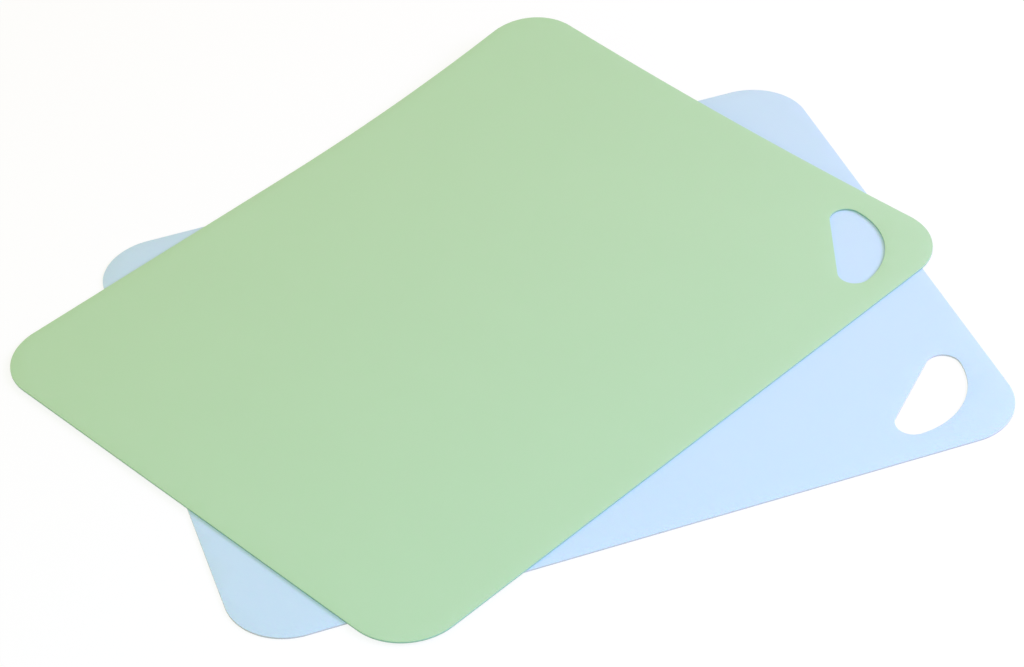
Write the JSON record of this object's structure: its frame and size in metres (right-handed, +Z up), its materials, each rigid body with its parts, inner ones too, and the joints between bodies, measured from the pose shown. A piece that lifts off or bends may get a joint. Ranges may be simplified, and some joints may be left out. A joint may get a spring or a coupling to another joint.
{
  "type": "flexible cutting mat pair",
  "caption": "Thin flexible plastic cutting mats, one lying turned on the other, each a rounded rectangle with a D-shaped hand hole across one corner.",
  "frame": {"origin": "centre of the lower mat's underside, on the table", "axes": "+X along the lower mat's length, towards the corner with the hand hole; +Y along its width, away from that corner; +Z up"},
  "size_m": [0.4274, 0.3906, 0.0134],
  "materials": {
    "blue_sheet": "pale blue extruded polypropylene, fine matte grain",
    "green_sheet": "soft green extruded polypropylene, fine matte grain"
  },
  "bodies": {
    "lower": {"lower_mat": "blue_sheet"},
    "upper": {"upper_mat": "green_sheet"}
  },
  "joints": [
    {"name": "upper_lift", "type": "slide", "parent": "lower", "child": "upper", "axis": [0, 0, 1], "range_m": [0, 0.06]}
  ]
}
